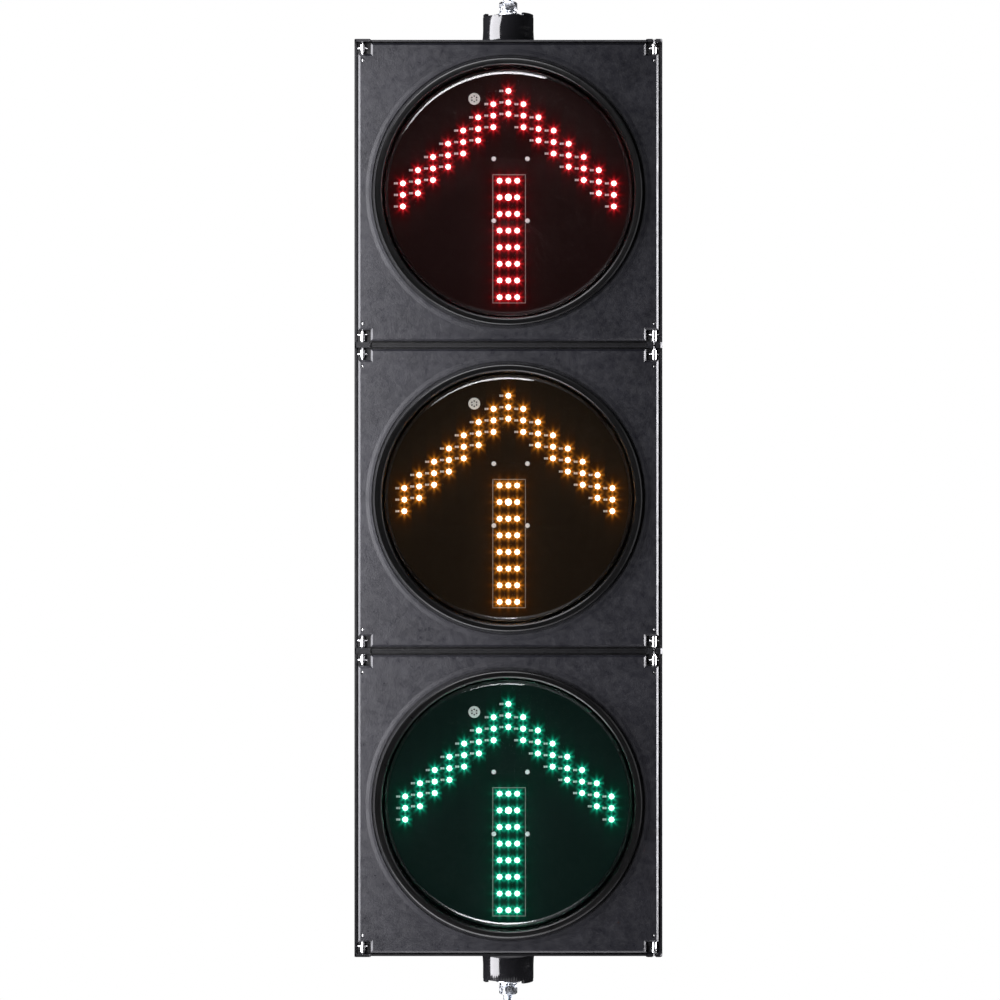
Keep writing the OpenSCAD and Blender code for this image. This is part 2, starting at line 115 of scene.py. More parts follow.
class Shader:
    """A material with one Principled shader, and short ways to add the nodes that feed it."""

    def __init__(self, name, **values):
        self.mat = bpy.data.materials.new(name)
        self.mat.use_nodes = True
        self.nodes = self.mat.node_tree.nodes
        self.links = self.mat.node_tree.links
        self.bsdf = next(n for n in self.nodes if n.type == "BSDF_PRINCIPLED")
        for key, value in values.items():
            self.set(key, value)
        coords = self.nodes.new("ShaderNodeTexCoord")
        self.place = coords.outputs["Object"]

    def set(self, key, value):
        socket = self.bsdf.inputs[key.replace("_", " ")]
        if isinstance(value, tuple) and len(value) == 3 and len(socket.default_value) == 4:
            value = (*value, 1.0)
        socket.default_value = value

    def scaled(self, stretch):
        mapping = self.nodes.new("ShaderNodeMapping")
        mapping.inputs["Scale"].default_value = stretch
        self.links.new(self.place, mapping.inputs["Vector"])
        return mapping.outputs["Vector"]

    def noise(self, scale, detail=3.0, rough=0.5, stretch=None):
        node = self.nodes.new("ShaderNodeTexNoise")
        node.inputs["Scale"].default_value = scale
        node.inputs["Detail"].default_value = detail
        node.inputs["Roughness"].default_value = rough
        source = self.scaled(stretch) if stretch else self.place
        self.links.new(source, node.inputs["Vector"])
        return node.outputs["Fac"]

    def ramp(self, source, stops):
        """stops: (position, value) pairs, where a value is a number or a colour."""
        node = self.nodes.new("ShaderNodeValToRGB")
        while len(node.color_ramp.elements) < len(stops):
            node.color_ramp.elements.new(0.5)
        for element, (position, value) in zip(node.color_ramp.elements, stops):
            element.position = position
            rgb = value if isinstance(value, tuple) else (value, value, value)
            element.color = (*rgb, 1.0)
        self.links.new(source, node.inputs["Fac"])
        return node.outputs["Color"]

    def mix(self, factor, one, other):
        node = self.nodes.new("ShaderNodeMix")
        node.data_type = "RGBA"
        self.links.new(factor, node.inputs["Factor"])
        for socket, value in ((node.inputs["A"], one), (node.inputs["B"], other)):
            if isinstance(value, tuple):
                socket.default_value = (*value, 1.0)
            else:
                self.links.new(value, socket)
        return node.outputs["Result"]

    def math(self, operation, one, other=0.0):
        """One arithmetic node; its inputs are sockets or numbers."""
        node = self.nodes.new("ShaderNodeMath")
        node.operation = operation
        for socket, value in zip(node.inputs, (one, other)):
            if isinstance(value, (int, float)):
                socket.default_value = value
            else:
                self.links.new(value, socket)
        return node.outputs[0]

    def axes(self):
        node = self.nodes.new("ShaderNodeSeparateXYZ")
        self.links.new(self.place, node.inputs[0])
        return node.outputs

    def feed(self, key, source):
        self.links.new(source, self.bsdf.inputs[key])

    def bump(self, height, distance, strength=1.0, after=None):
        node = self.nodes.new("ShaderNodeBump")
        node.inputs["Distance"].default_value = distance
        node.inputs["Strength"].default_value = strength
        self.links.new(height, node.inputs["Height"])
        if after:
            self.links.new(after, node.inputs["Normal"])
        self.links.new(node.outputs["Normal"], self.bsdf.inputs["Normal"])
        return node.outputs["Normal"]


# ---- materials ----


def grained_plastic(name, base, light, rough_low, rough_high, grain=0.00012):
    """Moulded polycarbonate: a fine spark-eroded grain and cloudy flow marks that change colour and shine."""
    s = Shader(name, Roughness=0.5, IOR=1.55)
    mottle = s.noise(22.0, 8.0, 0.78)
    s.feed("Base Color", s.ramp(mottle, [(0.35, base), (0.68, light)]))
    s.feed("Roughness", s.ramp(s.noise(110.0, 6.0, 0.8), [(0.32, rough_low), (0.68, rough_high)]))
    s.bump(s.noise(620.0, 2.0, 0.6), grain, 0.55)
    return s.mat


def gloss_plastic(name, base):
    """Polished mould surface: near-mirror, with hairline scuffs that only change the roughness."""
    s = Shader(name, Roughness=0.1, IOR=1.55, Coat_Weight=0.35, Coat_Roughness=0.04)
    s.feed("Base Color", s.ramp(s.noise(9.0), [(0.3, base), (0.7, tuple(c * 1.5 for c in base))]))
    scuff = s.noise(70.0, 6.0, 0.7, (1.0, 1.0, 7.0))
    s.feed("Roughness", s.ramp(scuff, [(0.42, 0.07), (0.7, 0.24)]))
    s.bump(s.noise(32.0, 2.0), 0.00003, 0.5)
    return s.mat


def rubber(name):
    s = Shader(name, Roughness=0.8, IOR=1.5, Sheen_Weight=0.15)
    fine = s.noise(900.0, 2.0)
    s.feed("Base Color", s.ramp(s.noise(40.0), [(0.3, (0.010, 0.010, 0.010)), (0.7, (0.028, 0.028, 0.027))]))
    s.feed("Roughness", s.ramp(fine, [(0.3, 0.72), (0.7, 0.9)]))
    s.bump(fine, 0.00008, 0.5)
    return s.mat


def drawn_steel(name):
    """Polished stainless rod, with the fine lines of drawing along its length."""
    s = Shader(name, Metallic=1.0, Roughness=0.22)
    lines = s.noise(900.0, 3.0, 0.6, (1.0, 1.0, 0.06))
    s.feed("Base Color", s.ramp(lines, [(0.3, (0.60, 0.60, 0.61)), (0.7, (0.86, 0.86, 0.85))]))
    s.feed("Roughness", s.ramp(lines, [(0.3, 0.16), (0.7, 0.30)]))
    s.bump(lines, 0.00002, 0.4)
    return s.mat


def zinc_plate(name):
    """Bright zinc plating: bluish, slightly uneven, with a soft spangle."""
    s = Shader(name, Metallic=1.0, Roughness=0.25)
    patch = s.noise(160.0, 4.0, 0.6)
    s.feed("Base Color", s.ramp(patch, [(0.3, (0.52, 0.56, 0.62)), (0.7, (0.82, 0.84, 0.86))]))
    s.feed("Roughness", s.ramp(s.noise(420.0, 3.0), [(0.3, 0.16), (0.7, 0.38)]))
    s.bump(s.noise(700.0, 3.0), 0.00003, 0.5)
    return s.mat


def nearest_diode(s, colour):
    """Millimetres across and up from a point on the board to the closest diode of chevron and stem."""
    x, _, z = s.axes()
    per_metre = 1000.0
    up = s.math("MULTIPLY", s.math("SUBTRACT", z, SECTION_Z[colour] - BOARD_DROP[colour] * MM), per_metre)
    across = s.math("MULTIPLY", x, per_metre)

    def wrapped(value, pitch, low, high):
        step = s.math("ROUND", s.math("DIVIDE", value, pitch))
        step = s.math("MINIMUM", s.math("MAXIMUM", step, low), high)
        return step, s.math("SUBTRACT", value, s.math("MULTIPLY", step, pitch))

    pitch = WING_PITCH[colour]
    column, wing_x = wrapped(s.math("ABSOLUTE", across), pitch, 0, WING_COLUMNS)
    top = s.math("SUBTRACT", ARROW_TOP, s.math("MULTIPLY", column, WING_DROP))
    _, wing_z = wrapped(s.math("SUBTRACT", up, top), WING_GAP, -2, 0)
    _, stem_x = wrapped(across, STEM_PITCH, -1, 1)
    _, stem_z = wrapped(s.math("SUBTRACT", up, STEM_TOP), STEM_ROW_GAP, 1 - STEM_ROWS, 0)
    return (wing_x, wing_z), (stem_x, stem_z)


def spill_of_light(s, colour):
    """Light thrown on the board round each diode: a close glow with short rays, and a wide faint one."""
    ray_count, close_halving, ray_swing, wide_halving = 8.0, 1.22, 0.30, 9.0
    close, wide = 0.0, 0.0
    for dx, dz in nearest_diode(s, colour):
        reach = s.math("SQRT", s.math("ADD", s.math("MULTIPLY", dx, dx), s.math("MULTIPLY", dz, dz)))
        rays = s.math("COSINE", s.math("MULTIPLY", s.math("ARCTAN2", dz, dx), ray_count))
        half_way = s.math("ADD", s.math("MULTIPLY", rays, ray_swing), close_halving)
        close = s.math("ADD", s.math("POWER", 0.5, s.math("DIVIDE", reach, half_way)), close)
        wide = s.math("ADD", s.math("POWER", 0.5, s.math("DIVIDE", reach, wide_halving)), wide)
    return close, wide


def solder_mask(name, base, colour):
    """Black solder mask over copper: faint raised tracks, a fine grain, and the light of the diodes."""
    close_strength, wide_strength, haze_strength = 7.5, 0.034, 0.009
    s = Shader(name, Roughness=0.5, IOR=1.5, Specular_IOR_Level=0.15)
    tracks = s.nodes.new("ShaderNodeTexBrick")
    layout = {"Scale": 1.0, "Brick Width": 0.021, "Row Height": 0.0068, "Mortar Size": 0.0005}
    for key, value in layout.items():
        tracks.inputs[key].default_value = value
    turned = s.nodes.new("ShaderNodeMapping")
    turned.inputs["Rotation"].default_value = (math.radians(90), 0, 0)
    s.links.new(s.place, turned.inputs["Vector"])
    s.links.new(turned.outputs["Vector"], tracks.inputs["Vector"])
    s.feed("Base Color", s.mix(tracks.outputs["Fac"], base, tuple(c * 0.6 for c in base)))
    s.feed("Roughness", s.ramp(s.noise(300.0), [(0.3, 0.42), (0.7, 0.6)]))
    s.bump(tracks.outputs["Fac"], 0.00004, 0.4)
    close, wide = spill_of_light(s, colour)
    near = s.ramp(close, [(0.14, SPILL[colour]), (0.26, CORE[colour])])
    s.feed("Emission Color", s.mix(s.ramp(wide, [(0.08, 0.0), (0.36, 1.0)]), HAZE[colour], near))
    glow = s.math("ADD", s.math("MULTIPLY", close, close_strength), s.math("MULTIPLY", wide, wide_strength))
    s.feed("Emission Strength", s.math("ADD", glow, haze_strength))
    return s.mat


def lens_plastic(name, tint):
    """Clear polycarbonate, faintly smoked, with traces of dust."""
    s = Shader(name, Roughness=0.02, IOR=1.58, Transmission_Weight=1.0, Coat_Weight=0.8, Coat_IOR=1.55)
    s.set("Base Color", tint)
    s.feed("Roughness", s.ramp(s.noise(240.0, 6.0, 0.7), [(0.62, 0.015), (0.75, 0.06)]))
    return s.mat


def glowing(name, colour, strength):
    """A lit diode's epoxy: white-hot where it faces the eye, its own colour at the rim."""
    s = Shader(name, Roughness=0.15, IOR=1.5)
    s.set("Base Color", LIGHT[colour])
    facing = s.nodes.new("ShaderNodeLayerWeight").outputs["Facing"]
    s.feed("Emission Color", s.ramp(facing, [(0.10, CORE[colour]), (0.55, LIGHT[colour])]))
    unevenness = s.ramp(s.noise(23.0, 1.0), [(0.35, 0.8), (0.6, 1.0)])
    s.feed("Emission Strength", s.math("MULTIPLY", unevenness, strength))
    return s.mat


def printed(name, colour, rough=0.6, lit=0.0):
    """Small pale or dark things on the boards; lit is a painted glow for the light that the diodes beside
    them add.
    """
    s = Shader(name, Roughness=rough, Emission_Strength=lit)
    s.feed("Base Color", s.ramp(s.noise(500.0), [(0.3, tuple(0.75 * c for c in colour)), (0.7, colour)]))
    s.set("Emission Color", colour)
    return s.mat


SATIN = grained_plastic("satin_black", (0.003, 0.003, 0.005), (0.010, 0.010, 0.013), 0.27, 0.45, 0.0002)
CASE = grained_plastic("case_black", (0.020, 0.020, 0.021), (0.032, 0.032, 0.033), 0.5, 0.66)
GLOSS = gloss_plastic("gloss_black", (0.008, 0.008, 0.009))
RING = grained_plastic("ring_black", (0.004, 0.004, 0.004), (0.008, 0.008, 0.008), 0.26, 0.34, 0.00002)
RUBBER = rubber("rubber")
STEEL = drawn_steel("stainless")
ZINC = zinc_plate("zinc")
SUPPLY = grained_plastic("supply_grey", (0.34, 0.35, 0.37), (0.46, 0.47, 0.49), 0.45, 0.6)
# These glow faintly: painted light for the diodes' light falling on them.
RESISTOR = printed("resistor_body", (0.62, 0.62, 0.62), 0.4, 0.35)
SOLDER = printed("solder", (0.86, 0.86, 0.86), 0.35, 0.30)
SCREW = printed("screw_head", (0.86, 0.86, 0.88), 0.3, 0.50)
PRINT = printed("board_print", (0.40, 0.37, 0.35), 0.6, 0.25)
VENT = printed("vent_ceramic", (0.72, 0.74, 0.72), 0.35, 0.55)
# One dark colour for two things: the insulating washers' own colour, and painted shade on the flat discs that
# stand for the vent's dimples.
DARK_WASHER_AND_HOLE_SHADE = printed("recess", (0.03, 0.03, 0.03), 0.6)
BOARD_MAT = {c: solder_mask(f"board_{c}", BOARD_BLACK_AND_DIODE_CAST[c], c) for c in COLOURS}
LENS_MAT = {c: lens_plastic(f"lens_{c}", TINT[c]) for c in COLOURS}
DOME_MAT = {c: glowing(f"led_{c}", c, 9.0) for c in COLOURS}


# ---- mesh helpers ----


def new_piece(name, bm, material, body, replaces=None, smooth=35.0):
    """Turns a bmesh into a finished piece that rides on a body."""
    mesh = bpy.data.meshes.new(name)
    bmesh.ops.recalc_face_normals(bm, faces=bm.faces)
    bm.to_mesh(mesh)
    bm.free()
    mesh.materials.append(material)
    mesh.polygons.foreach_set("use_smooth", [True] * len(mesh.polygons))
    mesh.set_sharp_from_angle(angle=math.radians(smooth))
    piece = bpy.data.objects.new(name, mesh)
    bpy.context.scene.collection.objects.link(piece)
    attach(piece, body)
    if replaces:
        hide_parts(replaces)
    return piece


def shade_by_area(mesh):
    """Flat faces keep their own normal; the others share normals by area, and so run softly into them.

    A face with more corners than a strip of a curve has is taken as flat, and so is any face in its plane.
    """
    same_plane, soft_edge, strip_corners = math.radians(0.5), math.radians(40), 6
    faces_at = {}
    for face in mesh.polygons:
        if face.area > SLIVER_AREA:
            for vertex in face.vertices:
                faces_at.setdefault(vertex, []).append(face)

    def near(face, vertex, angle):
        return [other for other in faces_at.get(vertex, ())
                if other.normal.angle(face.normal, math.pi) < angle]

    normals = [None] * len(mesh.loops)
    for face in mesh.polygons:
        flat = face.area < SLIVER_AREA or any(
            other.loop_total > strip_corners for vertex in face.vertices
            for other in near(face, vertex, same_plane))
        for loop, vertex in zip(face.loop_indices, face.vertices):
            total = Vector()
            for other in near(face, vertex, same_plane if flat else soft_edge):
                capped = other.loop_total > strip_corners
                total += other.normal * (min(other.area, FLAT_AREA) if capped else other.area)
            normals[loop] = total.normalized() if total.length else face.normal.copy()
    mesh.normals_split_custom_set(normals)


def refined(node, name, material, body, bevel):
    """The CAD node's own shape, with its flat faces joined and quartered and its long sharp edges rounded."""
    bm = bmesh.new()
    bm.from_mesh(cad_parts[node].data)
    bmesh.ops.remove_doubles(bm, verts=bm.verts, dist=WELD_GAP)
    bmesh.ops.dissolve_limit(bm, angle_limit=math.radians(0.6), verts=bm.verts, edges=bm.edges)
    middle = centre_of(node)
    for normal in (Vector((1, 0, 0)), Vector((0, 0, 1))):
        everything = bm.verts[:] + bm.edges[:] + bm.faces[:]
        bmesh.ops.bisect_plane(bm, geom=everything, plane_co=middle, plane_no=normal)
    shortest, bluntest = 9.0 * MM, math.radians(28)
    sharp = [e for e in bm.edges if len(e.link_faces) == 2 and e.calc_face_angle(0) > bluntest
             and e.calc_length() >= shortest]
    bmesh.ops.bevel(bm, geom=sharp, offset=bevel * MM, segments=3, profile=0.5, affect="EDGES",
                    clamp_overlap=True)
    bmesh.ops.remove_doubles(bm, verts=bm.verts, dist=SPLINTER)
    bmesh.ops.dissolve_degenerate(bm, dist=SPLINTER, edges=bm.edges)
    piece = new_piece(name, bm, material, body, node, 40.0)
    shade_by_area(piece.data)
    return piece


def dress(node, material):
    """Gives a CAD node its material and shades its curved faces smoothly."""
    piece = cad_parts[node]
    piece.data.materials.clear()
    piece.data.materials.append(material)
    weld = piece.modifiers.new("weld", "WELD")
    weld.merge_threshold = WELD_GAP
    smooth = piece.modifiers.new("soft_edges", "BEVEL")
    smooth.width = 0.25 * MM
    smooth.segments = 2
    smooth.limit_method = "ANGLE"
    smooth.angle_limit = math.radians(35)
    smooth.harden_normals = True
    piece.data.polygons.foreach_set("use_smooth", [True] * len(piece.data.polygons))
    return piece


def lathe_into(bm, profile, turn, steps=96):
    """Adds the solid made by turning a closed [radius, height] outline, placed by the matrix turn."""
    rings = []
    for k in range(steps):
        a = 2 * math.pi * k / steps
        rings.append([None if r < 1e-9 else bm.verts.new(turn @ Vector((r * math.cos(a), r * math.sin(a), h)))
                      for r, h in profile])
    poles = {i: bm.verts.new(turn @ Vector((0, 0, h))) for i, (r, h) in enumerate(profile) if r < 1e-9}
    count = len(profile)
    for k in range(steps):
        one, two = rings[k], rings[(k + 1) % steps]
        for i in range(count):
            j = (i + 1) % count
            if i in poles and j in poles:
                continue
            corners = [one[i] or poles[i], one[j] or poles[j], two[j] or poles[j], two[i] or poles[i]]
            unique = list(dict.fromkeys(corners))
            bm.faces.new(unique)


def facing_front(x, y, z):
    """Places a lathe's axis along -Y: its height runs towards the viewer from the point (x, y, z)."""
    return Matrix.Translation((x, y, z)) @ Matrix.Rotation(math.radians(90), 4, "X")


def box_into(bm, low, high, matrix=None):
    size = [high[i] - low[i] for i in range(3)]
    middle = [(high[i] + low[i]) / 2 for i in range(3)]
    place = Matrix.Translation(middle) @ Matrix.Diagonal((*size, 1.0))
    bmesh.ops.create_cube(bm, size=1.0, matrix=(matrix @ place) if matrix else place)


def arc(cx, cy, r, a0, a1, steps):
    return [(cx + r * math.cos(math.radians(a0 + (a1 - a0) * i / steps)),
             cy + r * math.sin(math.radians(a0 + (a1 - a0) * i / steps))) for i in range(steps + 1)]


def metres(points):
    return [(a * MM, b * MM) for a, b in points]


# ---- diodes and what is on the boards ----


def wing_places(colour):
    return [(c * WING_PITCH[colour], ARROW_TOP - BOARD_DROP[colour] - abs(c) * WING_DROP - k * WING_GAP)
            for c in range(-WING_COLUMNS, WING_COLUMNS + 1) for k in range(3)]


def stem_places(colour):
    return [(c * STEM_PITCH, STEM_TOP - BOARD_DROP[colour] - row * STEM_ROW_GAP)
            for row in range(STEM_ROWS) for c in (-1, 0, 1)]


def diodes(colour):
    """Each diode is a flanged epoxy body with a domed end; the stem's second row has a bigger middle one."""
    z0 = SECTION_Z[colour]
    outline = metres([(0, 0), (2.9, 0), (2.9, 0.9), (2.5, 1.1)] + arc(0, 2.6, 2.5, 5, 80, 7) + [(0, 5.1)])
    domes = bmesh.new()
    big_one = stem_places(colour)[4]
    for x, z in wing_places(colour) + stem_places(colour):
        size = 1.3 if (x, z) == big_one else 1.0
        place = facing_front(x * MM, BOARD_FRONT, z0 + z * MM) @ Matrix.Diagonal((size, size, 1, 1))
        lathe_into(domes, outline, place, 20)
    new_piece(f"{colour}_led_domes", domes, DOME_MAT[colour], f"{colour}_door_body",
              f"{colour}_leds", 40)


def resistors(colour):
    """A small chip resistor with two soldered ends, beside each diode of the chevron."""
    z0, face = SECTION_Z[colour], BOARD_FRONT
    bodies, ends = bmesh.new(), bmesh.new()
    left_of_diode, end_off = 8.3, 1.6 * MM
    body_half, body_rise = 1.1 * MM, 0.6 * MM
    end_half, end_tall, end_rise = 0.6 * MM, 1.2 * MM, 0.7 * MM
    for x, z in wing_places(colour):
        cx, cz = (x - left_of_diode) * MM, z0 + z * MM
        box_into(bodies, (cx - body_half, face - body_rise, cz - body_half),
                 (cx + body_half, face, cz + body_half))
        for side in (-1, 1):
            ex = cx + side * end_off
            box_into(ends, (ex - end_half, face - end_rise, cz - end_tall),
                     (ex + end_half, face, cz + end_tall))
    new_piece(f"{colour}_resistor_bodies", bodies, RESISTOR, f"{colour}_door_body")
    new_piece(f"{colour}_resistor_ends", ends, SOLDER, f"{colour}_door_body")


def stem_outline(colour):
    """The pale printed rectangle round the stem."""
    z0, face = SECTION_Z[colour] - BOARD_DROP[colour] * MM, BOARD_FRONT
    left, right, high, low = -18.4, 20.1, 21.9, -129.6
    t, rise = 0.45, 0.08 * MM
    lines = bmesh.new()
    strips = [(x - t, x + t, low - t, high + t) for x in (left, right)]
    strips += [(left + t, right - t, z - t, z + t) for z in (high, low)]
    for x0, x1, za, zb in strips:
        box_into(lines, (x0 * MM, face - rise, z0 + za * MM), (x1 * MM, face, z0 + zb * MM))
    new_piece(f"{colour}_stem_outline", lines, PRINT, f"{colour}_door_body")


def vent(colour):
    """A round pale sensor button with a rim, and dimples drawn as flat dark discs: painted shade of their
    hollows.
    """
    vx, vz = VENT_PLACE[0] * MM, SECTION_Z[colour] + (VENT_PLACE[1] - BOARD_DROP[colour]) * MM
    place = facing_front(vx, BOARD_FRONT, vz)
    button, dimples = bmesh.new(), bmesh.new()
    rim = [(0, 0), (6.9, 0), (6.9, 1.2), (6.4, 1.7), (5.7, 1.7), (5.2, 1.1), (0, 1.1)]
    lathe_into(button, metres(rim), place, 48)
    dimple = metres([(0, 1.0), (0.95, 1.0), (0.95, 1.16), (0, 1.16)])
    off_middle = Matrix.Translation((3.2 * MM, 0, 0))
    for k in range(6):
        turn = place @ Matrix.Rotation(math.radians(30 + 60 * k), 4, "Z") @ off_middle
        lathe_into(dimples, dimple, turn, 16)
    new_piece(f"{colour}_vent", button, VENT, f"{colour}_door_body")
    new_piece(f"{colour}_vent_dimple_shade", dimples, DARK_WASHER_AND_HOLE_SHADE, f"{colour}_door_body")


# ---- lens and ring ----


def lens(colour):
    """The domed lens, with a true arc at its shoulder and a skirt behind it."""
    low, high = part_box(f"{colour}_lens")
    z0 = SECTION_Z[colour]
    radius = (high.x - low.x) / 2 / MM
    back = high.y / MM
    top = low.y / MM
    shoulder, crown, thick = 11.0, 3.0, 2.5
    flat_r = radius - shoulder

    def face(inset):
        dome = [(flat_r * i / 12, -(top + inset + crown * (i / 12) ** 2)) for i in range(13)]
        side = [(r, -y) for r, y in arc(flat_r, top + crown + shoulder, shoulder - inset, -86, 0, 16)]
        return dome + side

    outline = face(0) + [(radius, -back), (radius - thick, -back)] + face(thick)[::-1]
    bm = bmesh.new()
    lathe_into(bm, metres(outline), facing_front(0, 0, z0), 160)
    new_piece(f"{colour}_clear_lens", bm, LENS_MAT[colour], f"{colour}_door_body",
              f"{colour}_lens", 50)


def lens_ring(colour):
    """The glossy ring: a rounded crest outside and a soft step down to the lens."""
    low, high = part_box(f"{colour}_lens_ring")
    z0 = SECTION_Z[colour]
    outer, front, back = (high.x - low.x) / 2 / MM, -low.y / MM, -high.y / MM
    base = -DOOR_FRONT / MM + 0.3
    inner, neck_r, step = 148.7, 152.0, 0.5
    lip_end, outer_round, inner_round = 50.0, 3.0, 2.6
    outline = ([(outer, base)] + arc(outer - outer_round, front - outer_round, outer_round, 0, 90, 8)
               + arc(inner + inner_round, front - inner_round, inner_round, 90, 180, 8)
               + [(inner, lip_end), (inner + step, lip_end - step), (inner + step, back), (neck_r, back),
                  (neck_r, base)])
    bm = bmesh.new()
    lathe_into(bm, metres(outline), facing_front(0, 0, z0), 160)
    new_piece(f"{colour}_bezel", bm, RING, f"{colour}_door_body", f"{colour}_lens_ring", 50)


# ---- fasteners ----


def board_screws(colour):
    """Pan-head screws with a cross recess, each on a dark insulating washer."""
    z0 = SECTION_Z[colour] - BOARD_DROP[colour] * MM
    heads, washers = bmesh.new(), bmesh.new()
    for x, z in SCREW_PLACES:
        place = facing_front(x * MM, BOARD_FRONT, z0 + z * MM)
        shank = [(0, -6.0), (1.5, -6.0), (1.5, 0)]
        dome = [(2.6, 0.4)] + arc(1.7, 1.3, 1.0, 0, 70, 4) + [(1.3, 2.2), (1.2, 1.2), (0, 1.2)]
        lathe_into(heads, metres(shank + dome), place, 28)
        lathe_into(washers, metres([(1.55, 0), (3.4, 0), (3.4, 0.4), (1.55, 0.4)]), place, 28)
        for k in range(4):
            turn = place @ Matrix.Rotation(math.radians(45 + 90 * k), 4, "Z")
            box_into(heads, (0.4 * MM, 0.4 * MM, 1.0 * MM), (1.2 * MM, 1.2 * MM, 2.1 * MM), turn)
    new_piece(f"{colour}_pan_screws", heads, SCREW, f"{colour}_door_body",
              f"{colour}_board_screws", 35)
    new_piece(f"{colour}_screw_washers", washers, DARK_WASHER_AND_HOLE_SHADE, f"{colour}_door_body")


def thread_into(bm, z_low, z_high, root_r, crest_r, pitch, steps=36):
    """One continuous V thread round the Z axis, closed at both ends."""
    turns = (z_high - z_low) / pitch
    rows = []
    count = int(turns * steps)
    for k in range(count + 1):
        a = 2 * math.pi * k / steps
        z = z_low + pitch * k / steps
        fade = min(1.0, k / steps, (count - k) / steps)
        crest = root_r + (crest_r - root_r) * fade
        dz = pitch / 2
        flat = 0.06 * pitch
        profile = ((root_r, z - dz), (crest, z - flat), (crest, z + flat), (root_r, z + dz))
        rows.append([bm.verts.new((r * math.cos(a), r * math.sin(a), h)) for r, h in profile])
    for one, two in zip(rows, rows[1:]):
        for i in range(3):
            bm.faces.new((one[i], one[i + 1], two[i + 1], two[i]))
    for row in (rows[0], rows[-1]):
        bm.faces.new(row)


def mounting_hardware():
    """Hexagon-head bolts whose threaded ends are the studs."""
    low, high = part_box("mounting_bolts")
    bm = bmesh.new()
    pitch, root_r, crest_r = 1.75 * MM, 5.0 * MM, 5.98 * MM
    core_r, tip_r = root_r + 0.05 * MM, root_r - 0.7 * MM
    head_corner_r, head_height, shank_start = 10.97 * MM, 7.5 * MM, 29.5 * MM
    thread_start, chamfer, thread_end, overlap = 39 * MM, 1.0 * MM, 1.2 * MM, 0.2 * MM
    for end, tip, start in ((1, high.z, STACK_HIGH), (-1, low.z, STACK_LOW)):
        shank = start + end * shank_start
        z0, z1 = sorted((shank - end * head_height, shank))
        bmesh.ops.create_cone(bm, cap_ends=True, segments=6, radius1=head_corner_r, radius2=head_corner_r,
                              depth=z1 - z0, matrix=Matrix.Translation((0, 0, (z0 + z1) / 2)))
        a, b = sorted((shank - end * overlap, tip - end * chamfer))
        lathe_into(bm, [(0, a), (core_r, a), (core_r, b), (0, b)], Matrix.Identity(4), 36)
        a, b = sorted((tip - end * chamfer, tip))
        r_low, r_high = (core_r, tip_r) if end > 0 else (tip_r, core_r)
        lathe_into(bm, [(0, a), (r_low, a), (r_high, b), (0, b)], Matrix.Identity(4), 36)
        a, b = sorted((start + end * thread_start, tip - end * thread_end))
        thread_into(bm, a, b, root_r, crest_r, pitch)
    new_piece("threaded_bolts", bm, ZINC, ROOT, "mounting_bolts", 30)


def coil_springs(colour):
    """Wire springs behind the four pins."""
    z0 = SECTION_Z[colour]
    node_low, node_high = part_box(f"{colour}_pin_springs")
    node_r = 2.85 * MM
    x_mid = (node_high.x - node_low.x) / 2 - node_r
    y_mid = (node_low.y + node_high.y) / 2
    half = (node_high.z - node_low.z) / 2
    inner_z, outer_z = half - SPRING_LENGTH, half
    turns, steps, wire, coil_r = 8, 20, 0.35 * MM, 2.4 * MM
    for v, sz in (("upper", 1), ("lower", -1)):
        for h, sx in (("left", -1), ("right", 1)):
            curve = bpy.data.curves.new(f"{colour}_spring_{v}_{h}", "CURVE")
            curve.dimensions = "3D"
            curve.bevel_depth = wire
            curve.bevel_resolution = 3
            curve.use_fill_caps = True
            line = curve.splines.new("POLY")
            line.points.add(turns * steps)
            for k in range(turns * steps + 1):
                a = 2 * math.pi * k / steps
                t = k / (turns * steps)
                z = z0 + sz * (inner_z + wire + (outer_z - inner_z - 2 * wire) * t)
                line.points[k].co = (sx * x_mid + coil_r * math.cos(a), y_mid + coil_r * math.sin(a), z, 1)
            curve.materials.append(STEEL)
            curve_object = bpy.data.objects.new("wire", curve)
            bpy.context.scene.collection.objects.link(curve_object)
            bpy.context.view_layer.update()
            mesh = bpy.data.meshes.new_from_object(curve_object.evaluated_get(
                bpy.context.evaluated_depsgraph_get()))
            bpy.data.objects.remove(curve_object)
            piece = bpy.data.objects.new(f"{colour}_spring_{v}_{h}", mesh)
            bpy.context.scene.collection.objects.link(piece)
            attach(piece, f"{colour}_door_body")
            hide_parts(f"{colour}_pin_springs")
            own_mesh(piece)


# ---- assembly ----

for colour in COLOURS:
    door_body = f"{colour}_door_body"
    refined(f"{colour}_housing", f"{colour}_shell", SATIN, ROOT, bevel=0.7)
    refined(f"{colour}_door", f"{colour}_door_panel", SATIN, door_body, bevel=0.9)
    lens(colour)
    lens_ring(colour)
    diodes(colour)
    resistors(colour)
    stem_outline(colour)
    vent(colour)
    board_screws(colour)
    coil_springs(colour)
    dress(f"{colour}_lens_gasket", RUBBER)
    dress(f"{colour}_module_case", CASE)
    dress(f"{colour}_circuit_board", BOARD_MAT[colour])
    dress(f"{colour}_power_supply", SUPPLY)
    dress(f"{colour}_module_clips", ZINC)
    for corner in ("upper_left", "upper_right", "lower_left", "lower_right"):
        dress(f"{colour}_pin_{corner}", STEEL)

mounting_hardware()
for node, material in (("door_gaskets", RUBBER), ("upper_spigot", GLOSS), ("lower_spigot", GLOSS),
                       ("spigot_screws", STEEL), ("mounting_nuts", ZINC), ("flat_washers", ZINC),
                       ("spring_washers", ZINC), ("joint_rings", ZINC), ("joint_bolts", ZINC),
                       ("terminal_block", SUPPLY), ("cable_grommet", RUBBER)):
    dress(node, material)


# ---- stage, lights and camera ----


